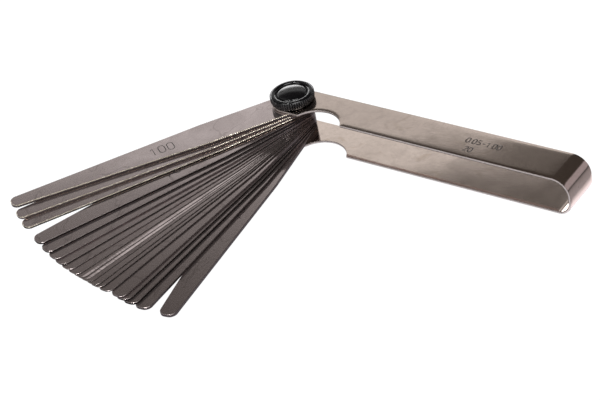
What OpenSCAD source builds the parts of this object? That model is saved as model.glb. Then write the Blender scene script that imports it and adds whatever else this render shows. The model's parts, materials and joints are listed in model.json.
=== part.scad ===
// Feeler gauge: twenty steel blades of graded thickness turn on a pivot bush in
// a U-shaped sheet-steel holder, and a knurled knob clamps the stack.
// Millimetres. The origin is on the pivot axis, at the holder's underside.
// +X runs from the pivot to the holder's bend, and +Z points to the knob.
// The thumb notches are in the holder's -Y edges.

/* [Blades] */
// Overall length of a blade
blade_length = 100; // [80:1:105]
// Width of a blade along its straight part
blade_width = 11.6; // [11:0.1:12.4]
// Radius of the blade's rounded end, about the pivot
blade_end_r = 6.1; // [5.9:0.1:6.4]
// Distance from the pivot to the start of the taper
taper_start = 30; // [20:1:50]
// Radius of the two corners at the tip
tip_corner_r = 2.2; // [1:0.1:2.6]
// Width of the flat between the tip's corners
tip_flat = 1; // [0.4:0.1:3]
// Thickness of the thinnest blade, and the step from each size to the next
thickness_step = 0.05; // [0.05:0.01:0.07]
// Free space between neighbouring blades when the knob is loose
stack_gap = 0.01; // [0.01:0.005:0.03]

/* [Fan] */
// Angle of the top blade about the pivot, from +X
fan_start = -123.8; // [-150:0.1:-90]
// Angle from each blade to the next one down, from the top
fan_steps = [3.5, 3, 5.5, 3, 2.5, 2, 2, 2, 1.5, 1, 1, 1.5, 1, 2, 3, 1, 1.5, 2.5, 5]; // [0:0.5:6]

/* [Holder] */
// Length from the pivot to the outside of the bend
holder_reach = 101.2; // [100:0.1:110]
// Width of the strip
holder_width = 13.2; // [12.8:0.1:15]
// Thickness of the sheet
sheet = 0.8; // [0.6:0.1:1]
// Outside radius of the bend's lower corner
bend_low_r = 4.5; // [2:0.1:4.8]
// Outside radius of the bend's upper corner
bend_top_r = 5.7; // [2:0.1:5.7]
// Radius of the thumb notches
notch_r = 8.7; // [6:0.1:9]
// Distance along the holder from the pivot to the centre of the top plate's notch
notch_top_x = 14.2; // [14:0.1:30]
// Distance along the holder from the pivot to the centre of the bottom plate's notch
notch_low_x = 14.7; // [14:0.1:30]
// Distance of the notches' centre from the holder's middle line
notch_y = 10.2; // [10:0.1:13]

/* [Pivot] */
// Outside radius of the bush that the blades turn on
bush_r = 3; // [2.8:0.1:3.2]
// Radius of the bush where it passes through the bottom plate
spigot_r = 2.6; // [2.4:0.1:2.7]
// Radius of the bush's flared foot, flush with the bottom plate
foot_r = 3.4; // [3:0.1:4]
// Height of the flare
foot_height = 0.6; // [0.4:0.1:0.7]
// Radius of the clamp screw
screw_r = 2; // [1.8:0.1:2.1]
// Radial running clearance of the blades and the screw
running_gap = 0.05; // [0.02:0.01:0.08]

/* [Knob] */
// Outside radius of the knurled side
knob_r = 7.1; // [6.5:0.1:8]
// Height of the knob's rim above the top plate
knob_height = 3.4; // [3:0.1:5]
// Height of the bevels at the rim's top and the knob's foot
knob_bevel = 0.5; // [0.2:0.1:0.8]
// Inside radius of the groove in the knob's top
dome_r = 4.6; // [3.5:0.1:5]
// Outside radius of the groove in the knob's top
groove_r = 5.7; // [5.2:0.1:6]
// Depth of the groove below the rim
groove_depth = 0.8; // [0.4:0.1:1]
// Radius of the washer under the knob
washer_r = 5; // [4:0.1:5.5]
// Thickness of the washer
washer_height = 0.3; // [0.2:0.1:0.5]

/* [Hidden] */
$fn = 96;
half_count = 10;
blade_count = 2 * half_count;
tip_x = blade_length - blade_end_r;
// Thickness of blade i, counted from the top of the stack: the even sizes come
// down to the middle, and the odd sizes go up again below it
function thickness(i) =
    thickness_step * (i < half_count ? blade_count - 2 * i : 2 * (i - half_count) + 1);
// Thickness of the blades above blade i, with the gap over each
function stack_above(i) = i == 0 ? 0 : stack_above(i - 1) + thickness(i - 1) + stack_gap;
// Angle of blade i about the pivot
function fan_angle(i) = i == 0 ? fan_start : fan_angle(i - 1) + fan_steps[i - 1];
stack_height = stack_above(blade_count) + stack_gap;
holder_height = stack_height + 2 * sheet;
bend_low_x = holder_reach - bend_low_r;
bend_top_x = holder_reach - bend_top_r;
plate_top = holder_height - sheet;
washer_z = holder_height + stack_gap;
knob_z = holder_height + 2 * stack_gap;
knob_top = holder_height + knob_height;
// The bush stops short of the top plate, so that the plate can be drawn down
bush_height = plate_top - 0.3;
// The screw's lower end stays inside the bush, above its closed foot
screw_z = sheet + 0.4;
// The screw's head is moulded into the knob
screw_head_r = 3.2;
screw_head_z = knob_z + washer_height + 0.6;
screw_head_height = 1.2;
taper_overlap = 0.02;

// Names in hundredths of a millimetre, from the top of the stack down
BLADES = [for (i = [0:blade_count - 1]) blade_name(i)];

function blade_name(i) =
    let (n = round(100 * thickness(i)))
    str("blade_", n < 100 ? "0" : "", n < 10 ? "0" : "", n);

// ---- holder ----

// A quarter of a tube of the sheet, along Y, on the +X side of its axis and
// above it or below it
module bend_quarter(r, up) {
    reach = r + 1;
    rotate([90, 0, 0]) difference() {
        cylinder(r = r, h = holder_width, center = true);
        cylinder(r = r - sheet, h = 2 * holder_width, center = true);
        translate([-reach, -reach, -holder_width]) cube([reach, 2 * reach, 2 * holder_width]);
        translate([-1, up ? -reach : 0, -holder_width]) cube([reach + 1, reach, 2 * holder_width]);
    }
}

// One of the two flat plates, from well behind the pivot to the bend at end_x
module flat_plate(end_x) {
    translate([-holder_width, -holder_width / 2, 0]) cube([end_x + holder_width, holder_width, sheet]);
}

// The strip bent into a U, before its end is rounded about the pivot
module bent_strip() {
    wall_height = holder_height - bend_low_r - bend_top_r;
    flat_plate(bend_low_x);
    translate([bend_low_x, 0, bend_low_r]) bend_quarter(bend_low_r, false);
    translate([holder_reach - sheet, -holder_width / 2, bend_low_r])
        cube([sheet, holder_width, wall_height]);
    translate([bend_top_x, 0, bend_low_r + wall_height]) bend_quarter(bend_top_r, true);
    translate([0, 0, plate_top]) flat_plate(bend_top_x);
}

// The space that the strip's round end and straight edges enclose
module strip_plan() {
    translate([0, 0, -1]) cylinder(r = holder_width / 2, h = holder_height + 2);
    translate([0, -holder_width, -1]) cube([2 * holder_reach, 2 * holder_width, holder_height + 2]);
}

module holder() {
    color("silver") difference() {
        intersection() {
            bent_strip();
            strip_plan();
        }
        translate([notch_low_x, -notch_y, -1]) cylinder(r = notch_r, h = sheet + 2);
        translate([notch_top_x, -notch_y, plate_top - 1]) cylinder(r = notch_r, h = sheet + 2);
        bush_seat();
        translate([0, 0, plate_top - 1]) cylinder(r = screw_r + running_gap, h = sheet + 2);
    }
}

// ---- pivot ----

// The bush's flared foot and spigot, which fill the hole in the bottom plate
module bush_seat() {
    rotate_extrude() polygon([
        [0, 0], [foot_r, 0], [spigot_r, foot_height], [spigot_r, sheet], [0, sheet]
    ]);
}

module pivot_bush() {
    color("gray") difference() {
        union() {
            bush_seat();
            translate([0, 0, sheet]) cylinder(r = bush_r, h = bush_height - sheet);
        }
        translate([0, 0, sheet]) cylinder(r = screw_r + running_gap, h = bush_height);
    }
}

module washer() {
    color("silver") translate([0, 0, washer_z]) difference() {
        cylinder(r = washer_r, h = washer_height);
        translate([0, 0, -1]) cylinder(r = screw_r + running_gap, h = washer_height + 2);
    }
}

module clamp_screw() {
    color("gray") {
        translate([0, 0, screw_z]) cylinder(r = screw_r, h = screw_head_z - screw_z);
        translate([0, 0, screw_head_z]) cylinder(r = screw_head_r, h = screw_head_height);
    }
}

// ---- knob ----

// Half section of the knob, without the room for the screw and the washer
module knob_section() {
    low = knob_z;
    polygon([
        [0, low], [knob_r - knob_bevel, low], [knob_r, low + knob_bevel],
        [knob_r, knob_top - knob_bevel], [knob_r - knob_bevel, knob_top],
        [groove_r + knob_bevel / 2, knob_top], [groove_r, knob_top - groove_depth],
        [dome_r, knob_top - groove_depth], [dome_r - knob_bevel / 2, knob_top - knob_bevel],
        [dome_r / 2, knob_top], [0, knob_top]
    ]);
}

module knob() {
    color("black") difference() {
        rotate_extrude() knob_section();
        translate([0, 0, knob_z - 1])
            cylinder(r = washer_r + 2 * running_gap, h = washer_height + 1);
        translate([0, 0, knob_z - 1]) cylinder(r = screw_r, h = screw_head_z - knob_z + 1);
        translate([0, 0, screw_head_z]) cylinder(r = screw_head_r, h = screw_head_height);
    }
}

// ---- blades ----

// Where the taper ends: the line from the straight part's corner runs just
// inside the tip's round corner, so that the two cross and leave no sliver
function taper_end() =
    let (r = tip_corner_r - taper_overlap,
         run = tip_x - tip_corner_r - taper_start,
         rise = tip_flat / 2 - blade_width / 2,
         slope = atan2(rise, run) + asin(r / norm([run, rise])))
    [tip_x - tip_corner_r - r * sin(slope), tip_flat / 2 + r * cos(slope)];

// A blade of thickness t, lying along +X from the pivot
module blade_blank(t) {
    half = blade_width / 2;
    corner = [tip_x - tip_corner_r, tip_flat / 2];
    end = taper_end();
    intersection() {
        cylinder(r = blade_end_r, h = t);
        translate([-blade_end_r, -half, 0]) cube([2 * blade_end_r, blade_width, t]);
    }
    linear_extrude(t) polygon([
        [0, -half], [0, half], [taper_start, half], end, corner, [tip_x, corner[1]],
        [tip_x, -corner[1]], [corner[0], -corner[1]], [end[0], -end[1]], [taper_start, -half]
    ]);
    for (side = [-1, 1])
        translate([corner[0], side * corner[1], 0]) cylinder(r = tip_corner_r, h = t);
}

module blade(i) {
    t = thickness(i);
    top = plate_top - stack_gap - stack_above(i);
    color("darkgray") rotate([0, 0, fan_angle(i)]) translate([0, 0, top - t])
        difference() {
            blade_blank(t);
            translate([0, 0, -1]) cylinder(r = bush_r + running_gap, h = t + 2);
        }
}

holder();
for (i = [0:blade_count - 1])
    blade(i);
pivot_bush();
washer();
clamp_screw();
knob();
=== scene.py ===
"""Looks of the feeler gauge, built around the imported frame. Metres."""
import json
import math
import random

import bmesh
import bpy
from mathutils import Matrix, Vector, geometry


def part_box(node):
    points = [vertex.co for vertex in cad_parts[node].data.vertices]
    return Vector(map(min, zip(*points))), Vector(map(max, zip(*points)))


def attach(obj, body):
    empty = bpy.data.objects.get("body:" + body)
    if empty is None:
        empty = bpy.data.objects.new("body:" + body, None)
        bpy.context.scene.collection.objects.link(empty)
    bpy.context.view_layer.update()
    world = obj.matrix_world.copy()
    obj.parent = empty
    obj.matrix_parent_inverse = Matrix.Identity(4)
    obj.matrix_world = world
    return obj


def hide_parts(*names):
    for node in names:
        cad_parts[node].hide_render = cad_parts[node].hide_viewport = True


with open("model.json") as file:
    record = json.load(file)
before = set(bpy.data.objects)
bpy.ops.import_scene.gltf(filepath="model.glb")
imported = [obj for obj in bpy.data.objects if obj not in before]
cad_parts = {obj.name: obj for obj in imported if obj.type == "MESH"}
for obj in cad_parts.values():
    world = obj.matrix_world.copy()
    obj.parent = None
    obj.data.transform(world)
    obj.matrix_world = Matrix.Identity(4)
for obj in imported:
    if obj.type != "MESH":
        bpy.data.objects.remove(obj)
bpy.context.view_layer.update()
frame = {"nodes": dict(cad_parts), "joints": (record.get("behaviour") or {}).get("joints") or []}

MM = 0.001
MM_PER_M = 1000
# Seed of the small shifts of the blades' numbers
SEED = 11

# ---- blades, in millimetres ----
BLADE_LENGTH = 100.0
BLADE_HALF = 5.8
BLADE_END_R = 6.1
BORE_R = 3.05
TIP_X = BLADE_LENGTH - BLADE_END_R
TAPER_START = 30.0
TIP_R = 2.2
TIP_FLAT_HALF = 0.5
TAPER_SLOPE = (BLADE_HALF - TIP_FLAT_HALF - TIP_R) / (TIP_X - TIP_R - TAPER_START)
# The thick blades above the middle of the stack have scalloped long edges
RIB_MIN_THICKNESS = 0.75
RIB_MIN_Z = 7
RIB_PITCH = 0.66
RIB_DEPTH = 0.10
RIB_POINTS = 4
# Width and height of the bevelled rims, and the swing of a scalloped rim's width
RIBBED_INSET, RIBBED_DROP, RIBBED_BEAD = 0.22, 0.18, 0.25
PLAIN_INSET, PLAIN_DROP, PLAIN_DROP_SHARE = 0.18, 0.08, 0.35
# Blades thinner than this curl up by LEAF_CURL, as a slope, beside one long edge
THIN_LEAF = 0.12
LEAF_CURL = 0.05
CURL_FULL, CURL_END = 0.9, 1.3
NUMBER_X, NUMBER_Y, NUMBER_SHIFT = 48.5, 2.1, 0.4
NUMBER_HEIGHT, NUMBER_STROKE = 4.0, 0.3
STROKE_RISE = 0.004

# ---- holder, in millimetres ----
HOLDER_HALF = 6.6
HOLDER_REACH = 101.2
SHEET = 0.8
BEND_LOW_R = 4.5
BEND_TOP_R = 5.7
NOTCH_R = 8.7
NOTCH_Y = 10.2
NOTCH_TOP_X = 14.2
NOTCH_LOW_X = 14.7
BUSH_FOOT_R = 3.4
SCREW_HOLE_R = 2.05
# The outer face rolls over towards the cut rims, over this width, by this drop
ROLL_WIDTH = 1.3
ROLL_DROP = 0.05
ROLL_STEPS = (0.15, 0.35, 0.6, 0.9, 1.3)
# Share of a cut face, from the outer face on, that is sheared and not torn
SHEAR_SHARE = 0.7
CUT_BEVEL = 0.05
# Spacing of the points along a plate's straight edges
RIM_STEP = 1.0
# The roll's rows of points stay nearer than this to the round hole
HOLE_ROLL = 0.5
# Spacing of the points inside a plate along X and Y
GRID_X, GRID_Y = 2.2, 2.0
GRID_COLUMNS = 50
# Height that parts the two plates, and the shapes that only the shader shows
BETWEEN_PLATES = (2.0, 2.4)
DROOP_START = 70.0
DROOP_RATE = 0.00085
BOTTOM_RISE = 0.009
STAMP_HEIGHT, STAMP_STROKE, STAMP_TILT = 2.2, 0.42, -1.0
RANGE_STAMP_AT = (63.0, 0.1)
COUNT_STAMP_AT = (64.4, -4.0)

# ---- knob, in millimetres ----
KNOB_R = 7.1
RIBS_ON_KNOB = 56
POINTS_PER_RIB = 8
KNURL_DEPTH = 0.34
KNURL_SHARPNESS = 3.2
DOME_R = 4.36
DOME_SAG = 0.58
DOME_POWER = 2.05
DOME_STEPS = 16
# Radius and depth below the top of the wall between the dome and the ring
DOME_WALL = ((4.5, 0.66), (4.62, 0.8), (4.76, 0.97), (4.92, 1.02))
# The ring's inner and outer rounds: their centre's radius and depth, and their radius
RING_INNER = (5.95, 1.2, 0.87)
RING_OUTER = (6.15, 1.13, 0.8)
# Radius, depth below the top or height above the foot, and share of the knurl
KNURL_TOP = ((6.93, 0.72, 0.6), (KNOB_R, 0.86, 1), (KNOB_R, 1.5, 1))
KNURL_FOOT = ((KNOB_R, 1.05, 1), (7.02, 0.9, 0.8))
# The foot's round likewise, with its centre's height in place of a depth
FOOT_ROUND = (6.2, 0.75, 0.75)
FOOT_FLAT_R = 6.1
# Rooms in the foot for the washer, the screw and the screw's head
WASHER_ROOM_R, WASHER_ROOM_HEIGHT = 5.15, 0.31
SCREW_ROOM_R = 2.02
HEAD_ROOM_R, SCREW_HEAD_HEIGHT = 3.22, 1.2

# ---- camera: place and target in millimetres, roll in degrees, lens in mm ----
CAMERA_AT = (319.631, -368.233, 323.546)
CAMERA_TARGET = (26.759, -36.624, 6.0)
CAMERA_ROLL = -11.555
CAMERA_LENS = 109.834

# ---- stage, in metres ----
LIGHT_TARGET = (0.03, -0.03, 0)
STAGE_HALF = 4.0
CARD_DEPTH, FLOOR_DEPTH = 0.0001, 0.0002
BACKDROP_DISTANCE = 2.0
# Foot, top, radiance, heading and width of each band of the backdrop
BACKDROP = (
    (0, 0.5, 4.8, 52, 4.0),
    (0.5, 0.66, 1.6, 52, 4.0),
    (0.66, 1.0, 0.2, 27.5, 8.0),
    (1.0, 1.41, 0.76, 27.5, 8.0),
    (1.41, 1.61, 0.12, 27.5, 8.0),
)
# Name, heading, elevation, distance, width, height and radiance of each light
SOFT_BOXES = (
    ("right_box", -112, 66, 1.6, 0.8, 0.8, 4.2),
    ("back_fill", 180, 22, 2.6, 4.0, 1.4, 0.45),
    ("top_fill", 100, 88, 2.2, 1.2, 1.2, 0.3),
    ("left_fill", 82, 50, 2.2, 1.1, 0.9, 0.35),
    ("side_fill", -88, 22, 2.6, 3.0, 1.4, 0.45),
    ("front_box", 160, 48, 1.8, 0.6, 0.4, 7),
    ("lamp_0", 150, 72, 2.0, 0.16, 0.16, 40),
    ("lamp_1", -130, 66, 2.0, 0.16, 0.16, 40),
    ("lamp_2", 100, 76, 2.0, 0.16, 0.16, 40),
)
# Elevation, height and radiance of the bands that light the bend
BEND_BANDS = ((24.8, 0.12, 0.16), (13.5, 0.84, 0.42), (1.8, 0.16, 0.36))
BEND_HEADING, BEND_DISTANCE, BEND_WIDTH = -46, 2.4, 0.8
BEND_COLOR = (0.99, 0.9, 1.0)

# ---- places of the materials in a piece's list ----
FACE, EDGE, RIM = 0, 1, 2
TORN, SHEARED = 1, 2

scene = bpy.context.scene


# ---------------------------------------------------------------- helpers
def add_object(name, mesh, body, replaced=None, turn=0.0):
    """Links a mesh, turned about the pivot, as a piece that rides on a body."""
    piece = bpy.data.objects.new(name, mesh)
    scene.collection.objects.link(piece)
    piece.rotation_euler.z = math.radians(turn)
    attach(piece, body)
    if replaced:
        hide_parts(replaced)


def mesh_from(bm, name, materials):
    mesh = bpy.data.meshes.new(name)
    bmesh.ops.recalc_face_normals(bm, faces=bm.faces)
    bm.to_mesh(mesh)
    bm.free()
    for material in materials:
        mesh.materials.append(material)
    return mesh


def arc(cx, cy, r, start, end, count):
    """Points on an arc, angles in degrees, both ends included."""
    points = []
    for k in range(count + 1):
        a = math.radians(start + (end - start) * k / count)
        points.append((cx + r * math.cos(a), cy + r * math.sin(a)))
    return points


class Graph:
    """A node material under construction."""

    def __init__(self, name, **constants):
        self.material = bpy.data.materials.new(name)
        self.material.use_nodes = True
        self.tree = self.material.node_tree
        self.shader = self.tree.nodes["Principled BSDF"]
        for socket, value in constants.items():
            self.shader.inputs[socket.replace("_", " ")].default_value = value

    def put(self, socket, value):
        if isinstance(value, bpy.types.NodeSocket):
            self.tree.links.new(value, socket)
        else:
            socket.default_value = value

    def add(self, kind, values=None, **props):
        node = self.tree.nodes.new("ShaderNode" + kind)
        for name, value in props.items():
            setattr(node, name, value)
        for socket, value in (values or {}).items():
            self.put(node.inputs[socket], value)
        return node

    def place(self, scale=(1, 1, 1)):
        """The piece's own coordinates in millimetres, stretched by scale."""
        source = self.add("TexCoord").outputs["Object"]
        node = self.add("Mapping", {"Vector": source, "Scale": [MM_PER_M * s for s in scale]})
        return node.outputs["Vector"]

    def noise(self, where, scale, detail=4, rough=0.55, warp=0.0):
        return self.add("TexNoise", {
            "Vector": where, "Scale": scale, "Detail": detail,
            "Roughness": rough, "Distortion": warp}).outputs["Fac"]

    def ramp(self, value, low, high, out_low=0.0, out_high=1.0):
        return self.add("MapRange", {
            "Value": value, "From Min": low, "From Max": high,
            "To Min": out_low, "To Max": out_high}).outputs["Result"]

    def math(self, kind, a, b=0.0):
        return self.add("Math", {0: a, 1: b}, operation=kind).outputs[0]

    def mix(self, factor, a, b):
        node = self.add("Mix", {0: factor}, data_type="RGBA")
        self.put(node.inputs[6], a)
        self.put(node.inputs[7], b)
        return node.outputs[2]

    def bump(self, height, strength, distance, normal=None):
        values = {"Height": height, "Strength": strength, "Distance": distance}
        if normal is not None:
            values["Normal"] = normal
        return self.add("Bump", values).outputs["Normal"]

    def finish(self, **links):
        for socket, value in links.items():
            self.put(self.shader.inputs[socket.replace("_", " ")], value)
        return self.material


def rgb(r, g, b):
    return (r, g, b, 1.0)


# ---------------------------------------------------------------- materials
def holder_plate_material():
    """Bright plated sheet, smudged, with fine scratches."""
    g = Graph("holder_plate", Metallic=1.0)
    where = g.place()
    cloud = g.noise(where, 0.055, 5, 0.6, 0.4)
    blotch = g.noise(where, 0.22, 6, 0.65, 0.8)
    grain = g.noise(g.place((0.35, 2.2, 2.2)), 1.6, 3, 0.6)
    stain = g.ramp(g.noise(where, 0.12, 4, 0.5, 1.2), 0.62, 0.72)
    pits = g.ramp(g.noise(where, 0.9, 2, 0.5), 0.74, 0.78)
    color = g.mix(g.ramp(cloud, 0.35, 0.65), rgb(0.74, 0.625, 0.555), rgb(0.66, 0.555, 0.49))
    color = g.mix(g.ramp(blotch, 0.5, 0.8, 0.0, 0.5), color, rgb(0.52, 0.435, 0.385))
    color = g.mix(g.math("MULTIPLY", stain, 0.4), color, rgb(0.46, 0.36, 0.27))
    color = g.mix(g.math("MULTIPLY", pits, 0.6), color, rgb(0.16, 0.13, 0.11))
    split = g.add("SeparateXYZ", {"Vector": where}).outputs
    upper = g.ramp(split["Z"], *BETWEEN_PLATES)
    lower = g.math("SUBTRACT", 1.0, upper)
    # Painted shade: the top plate is darker than the bottom plate, most near the pivot end
    shade = g.math("MULTIPLY", upper, g.ramp(split["X"], 25, 45, 0.32, 0.2))
    color = g.mix(shade, color, rgb(0.30, 0.25, 0.22))
    mottle = g.ramp(g.noise(where, 0.8, 3, 0.6), 0.4, 0.7, 0.0, 0.22)
    color = g.mix(mottle, color, rgb(0.42, 0.35, 0.31))
    # Painted shade over the far half of the bottom plate, with a ragged rim
    shade_edge_x = g.math("ADD", g.math("MULTIPLY", g.noise(where, 0.15, 3, 0.5), 8.0), split["X"])
    painted_shade = g.math("MULTIPLY", g.ramp(shade_edge_x, 58, 62), lower)
    color = g.mix(g.math("MULTIPLY", painted_shade, 0.5), color, rgb(0.36, 0.30, 0.27))
    rough = g.math("SUBTRACT", g.ramp(blotch, 0.3, 0.75, 0.065, 0.11),
                   g.math("MULTIPLY", lower, 0.015))
    # The top plate droops a little towards the bend, and the bottom plate rises
    past = g.math("MAXIMUM", g.math("SUBTRACT", split["X"], DROOP_START), 0.0)
    droop = g.math("MULTIPLY", g.math("MULTIPLY", past, past), -DROOP_RATE)
    rise = g.math("MULTIPLY", split["X"], BOTTOM_RISE)
    sway = g.math("ADD", g.math("MULTIPLY", upper, droop), g.math("MULTIPLY", lower, rise))
    normal = g.bump(sway, 1.0, MM)
    normal = g.bump(g.noise(where, 0.035, 2, 0.5), 1.0, 0.00006, normal)
    normal = g.bump(grain, 0.03, 0.0001, normal)
    return g.finish(Base_Color=color, Roughness=rough, Normal=normal)


def cut_edge_material(name, dark, light, rough_low, rough_high,
                      relief=0.3, metallic=1.0, gap_shade=0.0):
    """A sheared or milled edge, with lighter worn specks. Given a share, the edges
    of some pieces, picked at random, are darkened by up to that share nearly to
    black: painted shade for the gaps between stacked pieces."""
    g = Graph(name, Metallic=metallic)
    where = g.place()
    specks = g.ramp(g.noise(where, 1.5, 4, 0.7), 0.52, 0.66)
    color = g.mix(specks, dark, light)
    # Painted shade: the edges of some pieces, picked at random, darkened nearly to black
    if gap_shade:
        piece = g.add("ObjectInfo").outputs["Random"]
        color = g.mix(g.ramp(piece, 0.35, 0.85, gap_shade, 0.0), color, rgb(0.02, 0.017, 0.018))
    rough = g.ramp(specks, 0, 1, rough_high, rough_low)
    normal = g.bump(g.noise(where, 2.5, 3, 0.6), relief, 0.0001)
    return g.finish(Base_Color=color, Roughness=rough, Normal=normal)


def blade_material(name, bent=False):
    """Ground spring steel, satin, with lengthwise scratches and oil haze."""
    g = Graph(name, Metallic=0.92)
    seed = g.math("MULTIPLY", g.add("ObjectInfo").outputs["Random"], 90.0)
    source = g.add("TexCoord").outputs["Object"]
    shift = g.add("CombineXYZ", {"X": seed, "Y": 0.0, "Z": seed}).outputs[0]

    def local(scale=(1, 1, 1)):
        scaled = g.add("VectorMath", {0: source, 1: [MM_PER_M * s for s in scale]},
                       operation="MULTIPLY").outputs[0]
        return g.add("VectorMath", {0: scaled, 1: shift}, operation="ADD").outputs[0]

    haze = g.noise(local(), 0.09, 5, 0.6, 0.7)
    smear = g.noise(local((0.35, 1, 1)), 0.5, 4, 0.6, 0.5)
    lines = g.noise(local((0.05, 4, 1)), 1.4, 3, 0.7)
    tone = g.ramp(g.add("ObjectInfo").outputs["Random"], 0, 1, 0.0, 0.5)
    color = g.mix(g.ramp(haze, 0.35, 0.68), rgb(0.60, 0.52, 0.51), rgb(0.48, 0.41, 0.40))
    color = g.mix(tone, color, rgb(0.54, 0.465, 0.455))
    color = g.mix(g.ramp(smear, 0.55, 0.85, 0.0, 0.25), color, rgb(0.40, 0.34, 0.32))
    # The dried rim of an oil stain, where a slow noise passes its middle value
    stain = g.noise(local(), 0.07, 3, 0.5, 0.6)
    stain_rim = g.math("ABSOLUTE", g.math("SUBTRACT", stain, 0.55))
    color = g.mix(g.ramp(stain_rim, 0.0, 0.016, 0.4, 0.0), color, rgb(0.25, 0.21, 0.20))
    rough = g.ramp(haze, 0.3, 0.75, 0.09, 0.16)
    normal = g.bump(lines, 0.012, 0.0001)
    if bent:
        # A thin leaf curls up beside its long edge, with chatter marks across
        along, across = g.add("SeparateXYZ", {"Vector": source}).outputs[:2]
        curl = g.bump(along, 1.0, LEAF_CURL, normal)
        curl = g.bump(g.noise(local((0.06, 0.05, 1)), 1.0, 1, 0.5), 1.0, 0.0006, curl)
        curl = g.bump(g.noise(local((1.6, 0.05, 1)), 1.0, 1, 0.5), 0.5, 0.00005, curl)
        tapered = g.math("MAXIMUM", g.math("SUBTRACT", along, TAPER_START * MM), 0.0)
        taper = g.math("MULTIPLY", tapered, TAPER_SLOPE)
        inside = g.math("SUBTRACT", BLADE_HALF * MM, g.math("ADD", across, taper))
        curled = g.ramp(inside, CURL_FULL * MM, CURL_END * MM, 1.0, 0.0)
        band = g.add("Mix", {0: curled}, data_type="VECTOR")
        g.put(band.inputs[4], normal)
        g.put(band.inputs[5], curl)
        normal = band.outputs[1]
    return g.finish(Base_Color=color, Roughness=rough, Normal=normal)


def plain_steel_material(name, light, dark):
    """Turned steel of the bush, the washer and the clamp screw."""
    g = Graph(name, Metallic=1.0)
    where = g.place()
    rings = g.add("TexWave", {"Vector": where, "Scale": 1.3, "Distortion": 0.6},
                  wave_type="RINGS", rings_direction="Z").outputs["Fac"]
    color = g.mix(g.noise(where, 0.6), light, dark)
    rough = g.ramp(g.noise(where, 1.1), 0.3, 0.7, 0.25, 0.42)
    return g.finish(Base_Color=color, Roughness=rough,
                    Normal=g.bump(rings, 0.15, 0.0001))


def knob_material():
    """Glossy black plastic with dust in the knurl and fine scratches."""
    g = Graph("knob_plastic", IOR=1.46)
    where = g.place()
    dust = g.ramp(g.noise(where, 1.3, 5, 0.7), 0.58, 0.72)
    flat = g.add("VectorMath", {0: where, 1: (1, 1, 0)}, operation="MULTIPLY").outputs[0]
    radius = g.add("VectorMath", {0: flat}, operation="LENGTH").outputs["Value"]
    wear = g.ramp(g.noise(where, 0.8, 3, 0.6), 0.4, 0.62, 0.1, 1.0)
    worn = g.math("MULTIPLY", g.ramp(radius, KNOB_R - 0.2, KNOB_R), wear)
    color = g.mix(g.math("MULTIPLY", dust, 0.3), rgb(0.003, 0.003, 0.004), rgb(0.05, 0.046, 0.044))
    color = g.mix(worn, color, rgb(0.075, 0.072, 0.072))
    rough = g.ramp(g.noise(where, 0.5, 4, 0.6), 0.3, 0.7, 0.12, 0.22)
    rough = g.math("ADD", rough, g.math("MULTIPLY", worn, 0.15))
    normal = g.bump(g.noise(where, 2.6, 3, 0.6), 0.025, 0.0001)
    return g.finish(Base_Color=color, Roughness=rough, Normal=normal)


def ink_material(name, dark, light):
    """The dark strokes of etched and stamped marks."""
    g = Graph(name, Metallic=0.6)
    tone = g.ramp(g.noise(g.place(), 1.2, 3, 0.6), 0.35, 0.65)
    color = g.mix(tone, dark, light)
    return g.finish(Base_Color=color, Roughness=g.ramp(tone, 0.3, 0.7, 0.45, 0.65))


HOLDER_PLATE = holder_plate_material()
# Torn band of the cut rims: duller torn steel, made darker still as painted shade
HOLDER_EDGE = cut_edge_material(
    "holder_torn_edge", rgb(0.22, 0.19, 0.17), rgb(0.52, 0.46, 0.42), 0.35, 0.5)
# Sheared band of the cut rims: near white and only partly metal, painted highlight over the
# burnished band
HOLDER_SHEAR = cut_edge_material(
    "holder_sheared_edge", rgb(0.84, 0.78, 0.74), rgb(0.96, 0.90, 0.86), 0.2, 0.3,
    relief=0.15, metallic=0.6)
BLADE_FACE = blade_material("blade_face")
LEAF_FACE = blade_material("leaf_face", bent=True)
# The blades' milled edges: dark steel, with painted shade on some blades for the dark gaps in the
# stack
BLADE_EDGE = cut_edge_material(
    "blade_milled_edge", rgb(0.22, 0.19, 0.195), rgb(0.32, 0.28, 0.285), 0.26, 0.32,
    relief=0.04, gap_shade=0.9)
BLADE_RIM = cut_edge_material(
    "blade_rim", rgb(0.42, 0.37, 0.36), rgb(0.56, 0.50, 0.48), 0.2, 0.3, relief=0.06)
# The beaded rims' lighter specks are yellowish near-white: painted highlight for glints on the
# beads, together with worn specks
BEAD_RIM = cut_edge_material(
    "beaded_rim", rgb(0.34, 0.30, 0.245), rgb(0.72, 0.66, 0.57), 0.28, 0.35)
STEEL = plain_steel_material(
    "turned_steel", rgb(0.55, 0.52, 0.49), rgb(0.38, 0.36, 0.34))
WASHER_STEEL = plain_steel_material(
    "blackened_steel", rgb(0.06, 0.055, 0.05), rgb(0.03, 0.028, 0.026))
KNOB = knob_material()
INK = ink_material("etched_mark", rgb(0.045, 0.036, 0.034), rgb(0.09, 0.075, 0.07))
STAMP = ink_material("stamped_mark", rgb(0.03, 0.022, 0.018), rgb(0.09, 0.07, 0.06))


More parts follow.
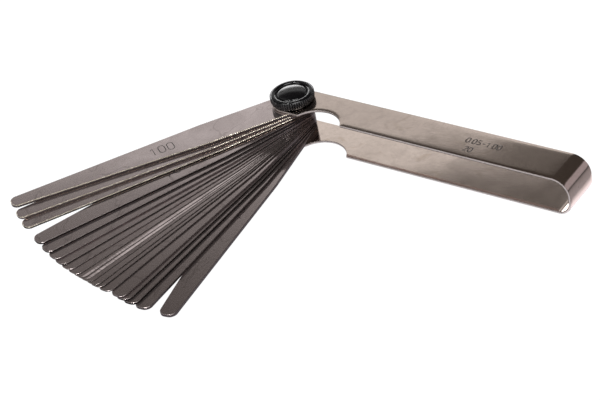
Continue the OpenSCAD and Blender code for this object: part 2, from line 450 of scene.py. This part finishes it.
# ---------------------------------------------------------------- blades
def blade_outline(ribbed):
    """The blade's outline, in millimetres, counter-clockwise from the pivot
    end's lower corner. A ribbed blade's long edges are scalloped."""
    corner_x = TIP_X - TIP_R
    run, rise = corner_x - TAPER_START, TIP_FLAT_HALF - BLADE_HALF
    slope = math.atan2(-rise, run) - math.asin(TIP_R / math.hypot(run, rise))
    half_end = math.asin(BLADE_HALF / BLADE_END_R)
    low_tip = arc(corner_x, -TIP_FLAT_HALF, TIP_R, math.degrees(slope) - 90, 0, 14)
    low = [(BLADE_END_R * math.cos(half_end), -BLADE_HALF),
           (TAPER_START, -BLADE_HALF), low_tip[0]]
    side = []
    for (x0, y0), (x1, y1) in zip(low, low[1:]):
        length = math.hypot(x1 - x0, y1 - y0)
        steps = max(1, round(length / RIB_PITCH * RIB_POINTS)) if ribbed else 1
        nx, ny = -(y1 - y0) / length, (x1 - x0) / length
        for k in range(steps):
            f = k / steps
            swing = 0.5 - 0.5 * math.cos(math.tau * k / RIB_POINTS)
            depth = RIB_DEPTH * swing if ribbed else 0.0
            side.append((x0 + f * (x1 - x0) + nx * depth, y0 + f * (y1 - y0) + ny * depth))
    low_half = side + low_tip
    high_half = [(x, -y) for x, y in reversed(low_half)]
    half_turn = math.degrees(half_end)
    end = arc(0, 0, BLADE_END_R, half_turn, 360 - half_turn, 40)[1:-1]
    end = [(x, max(-BLADE_HALF, min(BLADE_HALF, y))) for x, y in end]
    return low_half + high_half + end


def offset_inwards(points, inset, bead):
    """The outline moved inwards by inset, which swings by the share bead over
    the points of each scallop."""
    moved = []
    middle = (RIB_POINTS - 1) / 2
    for k, (x, y) in enumerate(points):
        distance = inset * (1 + bead * (k % RIB_POINTS - middle) / middle)
        ax, ay = points[k - 1]
        bx, by = points[(k + 1) % len(points)]
        length = math.hypot(bx - ax, by - ay)
        moved.append((x - (by - ay) / length * distance, y + (bx - ax) / length * distance))
    return moved


def ring_of_verts(bm, points, z):
    return [bm.verts.new((x * MM, y * MM, z * MM)) for x, y in points]


def plate_with_hole(bm, outline, bore, low, high, inset, drop, bead):
    """A flat plate with a round hole and bevelled rims, all in millimetres."""
    inner = offset_inwards(outline, inset, bead)
    rings = ((inner, low), (outline, low + drop), (outline, high - drop), (inner, high))
    holes = ((bore + inset, low), (bore, low + drop), (bore, high - drop), (bore + inset, high))
    outer_rings = [ring_of_verts(bm, points, z) for points, z in rings]
    hole_rings = [ring_of_verts(bm, arc(0, 0, r, 0, 360, 64)[:-1], z) for r, z in holes]
    for stack in (outer_rings, hole_rings):
        for level, (lower, upper) in enumerate(zip(stack, stack[1:])):
            for k in range(len(lower)):
                j = (k + 1) % len(lower)
                face = bm.faces.new((lower[k], lower[j], upper[j], upper[k]))
                face.material_index = EDGE if level == 1 else RIM
    for level in (0, -1):
        edges = []
        for ring in (outer_rings[level], hole_rings[level]):
            for k in range(len(ring)):
                edges.append(bm.edges.get((ring[k], ring[(k + 1) % len(ring)])))
        filled = bmesh.ops.triangle_fill(bm, use_beauty=True, use_dissolve=False, edges=edges)
        for item in filled["geom"]:
            if isinstance(item, bmesh.types.BMFace):
                item.material_index = FACE


# Strokes of the digits on a grid 2 wide and 4 high, as generic round figures
DIGITS = {
    "0": [arc(1, 1, 1, 180, 360, 10) + arc(1, 3, 1, 0, 180, 10) + [(0, 1)]],
    "1": [[(0.2, 3.0), (1.15, 4), (1.15, 0)]],
    "2": [arc(1, 3, 1, 160, -45, 9) + [(0, 0), (2, 0)]],
    "3": [arc(1, 3, 1, 150, -90, 9) + arc(1, 1, 1, 90, -150, 9)],
    "4": [[(1.5, 0), (1.5, 4), (0, 1.2), (2, 1.2)]],
    "5": [[(1.9, 4), (0.3, 4), (0.15, 2.2)] + arc(0.9, 1.25, 1.1, 115, -140, 10)],
    "6": [[(1.5, 4)] + arc(1.6, 1.6, 1.6, 130, 180, 4) + arc(1, 1, 1, 180, 540, 16)],
    "7": [[(0, 4), (2, 4), (0.6, 0)]],
    "8": [arc(1, 3.05, 0.95, -90, 270, 14), arc(1, 1.05, 1.05, 90, 450, 14)],
    "9": [[(0.5, 0)] + arc(0.4, 2.4, 1.6, -50, 0, 4) + arc(1, 3, 1, 0, 360, 16)],
    "-": [[(0.3, 2), (1.7, 2)]],
    ".": [[(0.0, 0.0), (0.0, 0.25)]],
}
GRID_HEIGHT = 4
ADVANCE, POINT_ADVANCE = 2.9, 1.0


def mark(name, text, at, height, turn, body, stroke, top, material, angle=0.0):
    """Thin dark strokes of a number, lying on a face at height top."""
    curve = bpy.data.curves.new(name, "CURVE")
    curve.dimensions = "3D"
    curve.bevel_depth = stroke / 2 * MM
    curve.bevel_resolution = 1
    curve.use_fill_caps = True
    unit = height / GRID_HEIGHT
    pen = 0.0
    for letter in text:
        for stroke_points in DIGITS[letter]:
            spline = curve.splines.new("POLY")
            spline.points.add(len(stroke_points) - 1)
            for point, (x, y) in zip(spline.points, stroke_points):
                point.co = ((pen + x) * unit * MM, y * unit * MM, 0, 1)
        pen += POINT_ADVANCE if letter == "." else ADVANCE
    carrier = bpy.data.objects.new(name + "_curve", curve)
    scene.collection.objects.link(carrier)
    depsgraph = bpy.context.evaluated_depsgraph_get()
    mesh = bpy.data.meshes.new_from_object(carrier.evaluated_get(depsgraph))
    bpy.data.objects.remove(carrier)
    bpy.data.curves.remove(curve)
    flatten = Matrix.Diagonal((1, 1, STROKE_RISE / (stroke / 2), 1))
    spin = Matrix.Rotation(math.radians(turn), 4, "Z")
    place = Matrix.Translation(Vector((at[0], at[1], top)) * MM) @ spin
    mesh.transform(place @ flatten)
    mesh.name = name
    mesh.materials.clear()
    mesh.materials.append(material)
    add_object(name, mesh, body, turn=angle)


def build_blade(node, angle, rng):
    """One blade, lying along +X and turned by angle, and its number."""
    low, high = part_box(node)
    low_z, high_z = low.z / MM, high.z / MM
    thickness = high_z - low_z
    ribbed = thickness > RIB_MIN_THICKNESS and high_z > RIB_MIN_Z
    inset, drop, bead = RIBBED_INSET, RIBBED_DROP, RIBBED_BEAD
    if not ribbed:
        inset, drop, bead = PLAIN_INSET, min(PLAIN_DROP, PLAIN_DROP_SHARE * thickness), 0
    bm = bmesh.new()
    plate_with_hole(bm, blade_outline(ribbed), BORE_R, low_z, high_z, inset, drop, bead)
    face = LEAF_FACE if thickness < THIN_LEAF else BLADE_FACE
    mesh = mesh_from(bm, node + "_steel", [face, BLADE_EDGE, BEAD_RIM if ribbed else BLADE_RIM])
    add_object(node + "_steel", mesh, node, node, angle)
    at = (NUMBER_X + rng.uniform(-NUMBER_SHIFT, NUMBER_SHIFT), NUMBER_Y)
    mark(node + "_number", str(round(thickness * 100)), at, NUMBER_HEIGHT, 180,
         node, NUMBER_STROKE, high_z, INK, angle)


def build_blades():
    """Each blade at its rest angle, which is its joint's upper limit from +X."""
    rng = random.Random(SEED)
    for joint in frame["joints"]:
        if joint["child"].startswith("blade_"):
            build_blade(joint["child"], -joint["range_deg"][1], rng)


# ---------------------------------------------------------------- holder
def roll(distance):
    """How far the sheet's outer face falls away near its sheared rims."""
    share = max(0.0, 1 - distance / ROLL_WIDTH)
    return ROLL_DROP * share * share


def plate_loops(end_x, notch_x, hole_r):
    """The rim of a flat plate from its bend at end_x round its pivot end,
    and its round hole, as lists of points."""
    half = HOLDER_HALF
    reach = math.sqrt(NOTCH_R ** 2 - (NOTCH_Y - half) ** 2)
    side = math.degrees(math.acos((NOTCH_Y - half) / NOTCH_R))

    def straight(x0, x1, y):
        count = round(abs(x1 - x0) / RIM_STEP)
        return [(x0 + (x1 - x0) * k / count, y) for k in range(count)]

    rim = straight(end_x, 0, half) + arc(0, 0, half, 90, 270, 72)[:-1]
    rim += straight(0, notch_x - reach, -half)
    rim += arc(notch_x, -NOTCH_Y, NOTCH_R, 90 + side, 90 - side, 48)[:-1]
    rim += straight(notch_x + reach, end_x, -half) + [(end_x, -half)]
    return rim, arc(0, 0, hole_r, 0, 360, 64)[:-1]


def plate_distance(x, y, notch_x, hole_r):
    """Distance from a point in a plate to its nearest rim."""
    inside = HOLDER_HALF - abs(y)
    if x < 0:
        inside = HOLDER_HALF - math.hypot(x, y)
    return min(inside, math.hypot(x - notch_x, y + NOTCH_Y) - NOTCH_R,
               math.hypot(x, y) - hole_r)


def plate_points(rim, hole, end_x, notch_x, hole_r):
    """Points inside a plate: rows along its rim and its hole for the roll, then
    a plain grid."""
    points = []
    for loop in (rim, hole):
        for k, (x, y) in enumerate(loop):
            (ax, ay), (bx, by) = loop[k - 1], loop[(k + 1) % len(loop)]
            length = math.hypot(bx - ax, by - ay)
            for step in ROLL_STEPS:
                if loop is hole and step >= HOLE_ROLL:
                    continue
                px, py = x - (by - ay) / length * step, y + (bx - ax) / length * step
                for qx, qy in ((px, py), (2 * x - px, 2 * y - py)):
                    depth = plate_distance(qx, qy, notch_x, hole_r)
                    if qx < end_x - 0.4 and abs(depth - step) < 0.01:
                        points.append(Vector((qx, qy)))
    clear = ROLL_STEPS[-1] + 0.4
    for i in range(GRID_COLUMNS):
        for j in (-2, -1, 0, 1, 2):
            x, y = i * GRID_X, j * GRID_Y
            if x < end_x - 1 and plate_distance(x, y, notch_x, hole_r) > clear:
                points.append(Vector((x, y)))
    return points


def flat_plate(bm, end_x, notch_x, hole_r, outer_z, inner_z):
    """One flat plate of the holder: rolled outer face, cut rims, inner face."""
    rim, hole = plate_loops(end_x, notch_x, hole_r)
    points = [Vector(p) for p in rim + hole]
    count, hole_count = len(rim), len(hole)
    edges = [(k, k + 1) for k in range(count - 1)]
    edges += [(count + k, count + (k + 1) % hole_count) for k in range(hole_count)]
    rows = [-HOLDER_HALF + d for d in ROLL_STEPS]
    rows += [HOLDER_HALF * (k / 3 - 1) for k in range(1, 6)]
    rows += [HOLDER_HALF - d for d in reversed(ROLL_STEPS)]
    chain = [count - 1]
    for y in sorted(rows):
        chain.append(len(points))
        points.append(Vector((end_x, y)))
    chain.append(0)
    edges += list(zip(chain, chain[1:]))
    points += plate_points(rim, hole, end_x, notch_x, hole_r)
    found = geometry.delaunay_2d_cdt(points, edges, [], 0, 1e-4)
    flat, triangles = found[0], found[2]
    outward = 1 if outer_z > inner_z else -1
    outer = []
    for p in flat:
        fall = outward * roll(plate_distance(p.x, p.y, notch_x, hole_r))
        outer.append(bm.verts.new(Vector((p.x, p.y, outer_z - fall)) * MM))
    inner = [bm.verts.new(Vector((p.x, p.y, inner_z)) * MM) for p in flat]
    for triangle in triangles:
        x = sum(flat[k].x for k in triangle) / 3
        y = sum(flat[k].y for k in triangle) / 3
        if plate_distance(x, y, notch_x, hole_r) < 0 or x > end_x:
            continue
        bm.faces.new([outer[k] for k in triangle])
        bm.faces.new([inner[k] for k in triangle])
    split_z = outer_z + (inner_z - outer_z) * SHEAR_SHARE
    where = {(round(p.x, 3), round(p.y, 3)): k for k, p in enumerate(flat)}
    for loop in (rim, hole):
        keys = [where[(round(x, 3), round(y, 3))] for x, y in loop]
        split = {k: bm.verts.new(Vector((flat[k].x, flat[k].y, split_z)) * MM) for k in keys}
        if loop is hole:
            keys.append(keys[0])
        for a, b in zip(keys, keys[1:]):
            sheared = bm.faces.new((outer[a], outer[b], split[b], split[a]))
            sheared.material_index = SHEARED
            torn = bm.faces.new((split[a], split[b], inner[b], inner[a]))
            torn.material_index = TORN
    return sorted([-HOLDER_HALF, HOLDER_HALF] + rows)


def bend_strip(bm, rows, height):
    """The bend between the two plates: two round corners and a short wall."""
    path = []
    for radius, centre_z, start, count in (
            (BEND_LOW_R, BEND_LOW_R, -90, 32), (BEND_TOP_R, height - BEND_TOP_R, 0, 40)):
        for k in range(count + 1):
            a = math.radians(start + 90 * k / count)
            path.append((HOLDER_REACH - radius, centre_z, radius, math.cos(a), math.sin(a)))
    columns = []
    for cx, cz, r, c, s in path:
        line = []
        for y in rows:
            radii = [r - roll(HOLDER_HALF - abs(y)), r - SHEET]
            if abs(y) == HOLDER_HALF:
                radii.append(r - SHEET * SHEAR_SHARE)
            line.append([bm.verts.new(Vector((cx + d * c, y, cz + d * s)) * MM) for d in radii])
        columns.append(line)
    for here, there in zip(columns, columns[1:]):
        for k in range(len(rows) - 1):
            for side in (0, 1):
                bm.faces.new((here[k][side], here[k + 1][side],
                              there[k + 1][side], there[k][side]))
        for k in (0, -1):
            for first, second, kind in ((0, 2, SHEARED), (2, 1, TORN)):
                face = bm.faces.new((here[k][first], here[k][second],
                                     there[k][second], there[k][first]))
                face.material_index = kind


def shade_smooth(bm, sharp_angle):
    """Smooth faces, with sharp edges where they turn by more than an angle."""
    for face in bm.faces:
        face.smooth = True
    limit = math.radians(sharp_angle)
    for edge in bm.edges:
        edge.smooth = len(edge.link_faces) == 2 and edge.calc_face_angle() < limit


def build_holder():
    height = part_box("holder")[1].z / MM
    bm = bmesh.new()
    rows = flat_plate(bm, HOLDER_REACH - BEND_LOW_R, NOTCH_LOW_X, BUSH_FOOT_R, 0, SHEET)
    flat_plate(bm, HOLDER_REACH - BEND_TOP_R, NOTCH_TOP_X, SCREW_HOLE_R, height, height - SHEET)
    bend_strip(bm, rows, height)
    bmesh.ops.remove_doubles(bm, verts=bm.verts, dist=2e-6)
    cuts = [e for e in bm.edges if len(e.link_faces) == 2
            and sorted(f.material_index != FACE for f in e.link_faces) == [False, True]]
    bmesh.ops.recalc_face_normals(bm, faces=bm.faces)
    bmesh.ops.bevel(bm, geom=cuts, offset=CUT_BEVEL * MM, segments=1, affect="EDGES",
                    clamp_overlap=True, material=TORN)
    shade_smooth(bm, 32)
    mesh = mesh_from(bm, "holder_sheet", [HOLDER_PLATE, HOLDER_EDGE, HOLDER_SHEAR])
    add_object("holder_sheet", mesh, "holder", "holder")


def build_stamps():
    """The set's size range and its number of blades, near the bend."""
    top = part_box("holder")[1].z / MM
    for name, text, at in (("range_stamp", "0.05-1.00", RANGE_STAMP_AT),
                           ("count_stamp", "20", COUNT_STAMP_AT)):
        mark(name, text, at, STAMP_HEIGHT, STAMP_TILT, "holder", STAMP_STROKE, top,
             STAMP)


# ---------------------------------------------------------------- knob
def knob_profile():
    """The knob's half section in millimetres, from the middle of the top round
    to the screw head's seat inside. Each point is a radius, a height and the
    share of the knurl's depth there."""
    foot, top = (corner.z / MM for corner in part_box("knob"))
    head_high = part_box("clamp_screw")[1].z / MM
    head_low = head_high - SCREW_HEAD_HEIGHT
    points = []
    for k in range(DOME_STEPS + 1):
        share = k / DOME_STEPS
        points.append((DOME_R * share, top - DOME_SAG * share ** DOME_POWER, 0))
    points += [(r, top - depth, 0) for r, depth in DOME_WALL]
    for (r, depth, round_r), start, end, count in ((RING_INNER, 172, 90, 14),
                                                   (RING_OUTER, 80, 35, 5)):
        points += [(x, z, 0) for x, z in arc(r, top - depth, round_r, start, end, count)]
    points += [(r, top - depth, share) for r, depth, share in KNURL_TOP]
    points += [(r, foot + height, share) for r, height, share in KNURL_FOOT]
    r, height, round_r = FOOT_ROUND
    points += [(x, z, 0) for x, z in arc(r, foot + height, round_r, 0, -75, 8)]
    room_top = foot + WASHER_ROOM_HEIGHT
    points += [(FOOT_FLAT_R, foot, 0), (WASHER_ROOM_R, foot, 0), (WASHER_ROOM_R, room_top, 0)]
    points += [(SCREW_ROOM_R, room_top, 0), (SCREW_ROOM_R, head_low, 0)]
    points += [(HEAD_ROOM_R, head_low, 0), (HEAD_ROOM_R, head_high, 0)]
    return points


def build_knob():
    points = knob_profile()
    around = RIBS_ON_KNOB * POINTS_PER_RIB
    bm = bmesh.new()
    rings = []
    for r, z, knurl in points[1:]:
        ring = []
        for k in range(around):
            phase = k % POINTS_PER_RIB / POINTS_PER_RIB
            groove = max(0.0, 1 - abs(phase - 0.5) * KNURL_SHARPNESS)
            radius = (r - knurl * KNURL_DEPTH * groove) * MM
            a = math.tau * k / around
            ring.append(bm.verts.new((radius * math.cos(a), radius * math.sin(a), z * MM)))
        rings.append(ring)
    for upper, lower in zip(rings, rings[1:]):
        for k in range(around):
            j = (k + 1) % around
            bm.faces.new((upper[k], upper[j], lower[j], lower[k]))
    for ring, (_, z, _) in ((rings[0], points[0]), (rings[-1], points[-1])):
        centre = bm.verts.new((0, 0, z * MM))
        for k in range(around):
            bm.faces.new((ring[k], ring[(k + 1) % around], centre))
    shade_smooth(bm, 40)
    mesh = mesh_from(bm, "knob_moulding", [KNOB])
    add_object("knob_moulding", mesh, "knob", "knob")


def build_pieces():
    build_blades()
    build_holder()
    build_stamps()
    build_knob()
    for node in ("pivot_bush", "washer", "clamp_screw"):
        for material_slot in frame["nodes"][node].material_slots:
            material_slot.material = WASHER_STEEL if node == "washer" else STEEL


# ---------------------------------------------------------------- stage
def look_matrix(position, target, roll=0.0):
    back = (position - target).normalized()
    right = Vector((0, 0, 1)).cross(back).normalized()
    up = back.cross(right)
    c, s = math.cos(math.radians(roll)), math.sin(math.radians(roll))
    right, up = c * right + s * up, c * up - s * right
    return Matrix.Translation(position) @ Matrix((right, up, back)).transposed().to_4x4()


def add_camera():
    data = bpy.data.cameras.new("camera")
    data.sensor_width = 36
    data.lens = CAMERA_LENS
    data.clip_start = 0.01
    camera = bpy.data.objects.new("camera", data)
    scene.collection.objects.link(camera)
    camera.matrix_world = look_matrix(
        Vector(CAMERA_AT) * MM, Vector(CAMERA_TARGET) * MM, CAMERA_ROLL)
    scene.camera = camera


def soft_box(name, heading, elevation, distance, width, height, radiance, color=(1, 1, 1)):
    """A rectangular light; heading is in degrees from +Y towards -X, and the
    lengths are in metres."""
    data = bpy.data.lights.new(name, "AREA")
    data.shape = "RECTANGLE"
    data.size, data.size_y = width, height
    data.energy = radiance * math.pi * width * height
    data.color = color
    light = bpy.data.objects.new(name, data)
    scene.collection.objects.link(light)
    h, e = math.radians(heading), math.radians(elevation)
    direction = Vector((-math.sin(h) * math.cos(e), math.cos(h) * math.cos(e), math.sin(e)))
    target = Vector(LIGHT_TARGET)
    light.matrix_world = look_matrix(target + direction * distance, target)
    light.visible_camera = False
    return light


def add_lights():
    """An upright white backdrop, brightest near the floor, whose level top edge
    shows in the plates; then the soft boxes, and bands of light for the bend."""
    for k, (foot, top, radiance, heading, width) in enumerate(BACKDROP):
        band = soft_box("backdrop_%d" % k, heading, 0, BACKDROP_DISTANCE,
                        width, top - foot, radiance)
        band.location.z += (foot + top) / 2
    for row in SOFT_BOXES:
        soft_box(*row)
    for k, (elevation, height, radiance) in enumerate(BEND_BANDS):
        soft_box("bend_box_%d" % k, BEND_HEADING, elevation, BEND_DISTANCE,
                 BEND_WIDTH, height, radiance, BEND_COLOR)


def add_sheet(name, depth, g):
    """A level square sheet below the part, with the material of a graph."""
    mesh = bpy.data.meshes.new(name)
    size = STAGE_HALF
    corners = [(-size, -size, 0), (size, -size, 0), (size, size, 0), (-size, size, 0)]
    mesh.from_pydata(corners, [], [(0, 1, 2, 3)])
    sheet = bpy.data.objects.new(name, mesh)
    sheet.location.z = -depth
    scene.collection.objects.link(sheet)
    mesh.materials.append(g.material)
    return sheet


def add_table_card():
    """A grey card over the floor, which only the steel's reflections show. It
    is bright in a strip beside the bend."""
    g = Graph("grey_card", Roughness=0.9)
    across = g.add("SeparateXYZ", {"Vector": g.place()}).outputs["X"]
    tone = g.ramp(across, 106, 180, 0.4, 0.07)
    strip = g.math("MULTIPLY", g.ramp(across, 98, 100), g.ramp(across, 103.9, 105.6, 1.0, 0.0))
    g.shader.inputs["Base Color"].default_value = rgb(0.02, 0.02, 0.02)
    g.shader.inputs["Emission Color"].default_value = rgb(1.0, 0.93, 1.0)
    g.finish(Emission_Strength=g.math("ADD", tone, strip))
    card = add_sheet("table_card", CARD_DEPTH, g)
    card.visible_camera = False
    card.visible_shadow = False


def add_floor():
    g = Graph("pale_floor", Roughness=0.9)
    g.shader.inputs["Base Color"].default_value = rgb(0.08, 0.08, 0.08)
    g.shader.inputs["Emission Color"].default_value = rgb(1, 1, 1)
    g.shader.inputs["Emission Strength"].default_value = 0.97
    add_sheet("floor", FLOOR_DEPTH, g)


def add_world():
    """White where the camera sees it, and dim brown for everything else."""
    world = bpy.data.worlds.new("studio")
    scene.world = world
    world.use_nodes = True
    nodes, links = world.node_tree.nodes, world.node_tree.links
    seen = nodes.new("ShaderNodeLightPath").outputs["Is Camera Ray"]
    shade = nodes.new("ShaderNodeMix")
    shade.data_type = "RGBA"
    links.new(seen, shade.inputs[0])
    shade.inputs[6].default_value = rgb(0.065, 0.056, 0.05)
    shade.inputs[7].default_value = rgb(1, 1, 1)
    links.new(shade.outputs[2], nodes["Background"].inputs["Color"])


def add_stage():
    add_world()
    add_lights()
    add_table_card()
    add_floor()
    scene.view_settings.view_transform = "Standard"


add_camera()
build_pieces()
add_stage()

bpy.context.view_layer.update()
